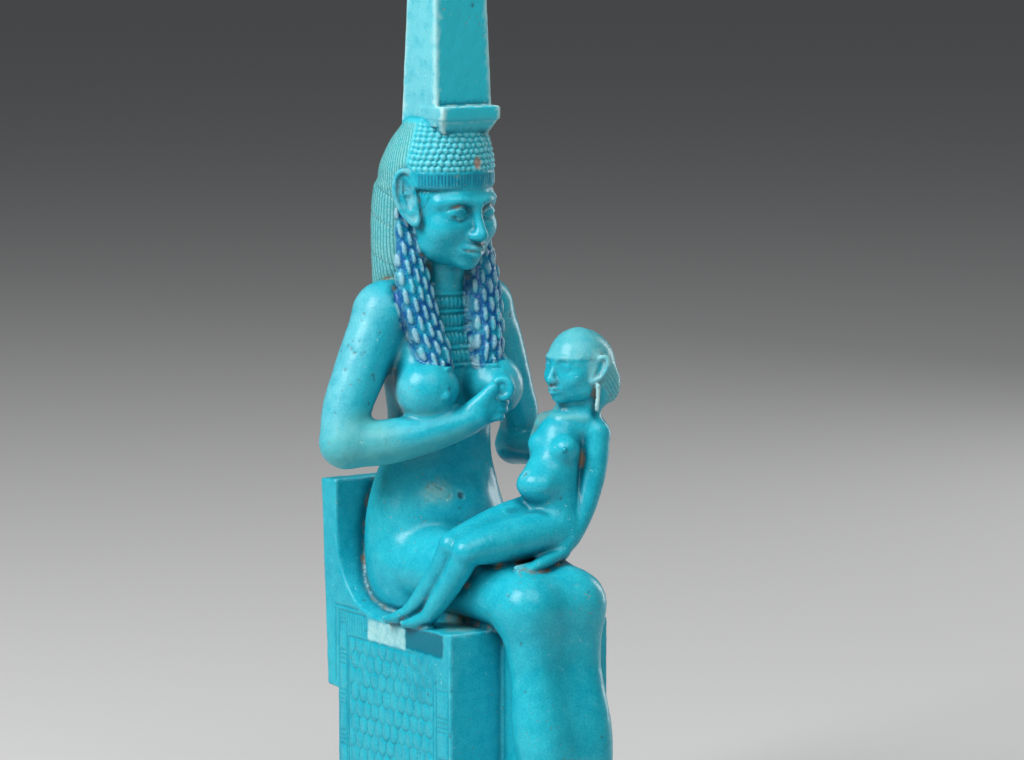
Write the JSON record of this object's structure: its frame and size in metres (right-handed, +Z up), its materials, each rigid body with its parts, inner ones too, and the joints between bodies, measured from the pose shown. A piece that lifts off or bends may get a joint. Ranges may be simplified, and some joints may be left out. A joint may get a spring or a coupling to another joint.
{
  "type": "seated mother and child figurine",
  "caption": "Glazed ceramic figurine of a seated woman nursing a child on a block throne, with a tall upright emblem on her head and a plinth underfoot.",
  "frame": {"origin": "middle of the plinth's underside", "axes": "+Z up, -Y the way the woman faces, +X towards her left"},
  "size_m": [0.0494, 0.0771, 0.1704],
  "materials": {
    "glaze": "glossy turquoise glaze, worn in places"
  },
  "bodies": {
    "root": {"isis_and_horus_figure": "glaze"}
  },
  "joints": []
}
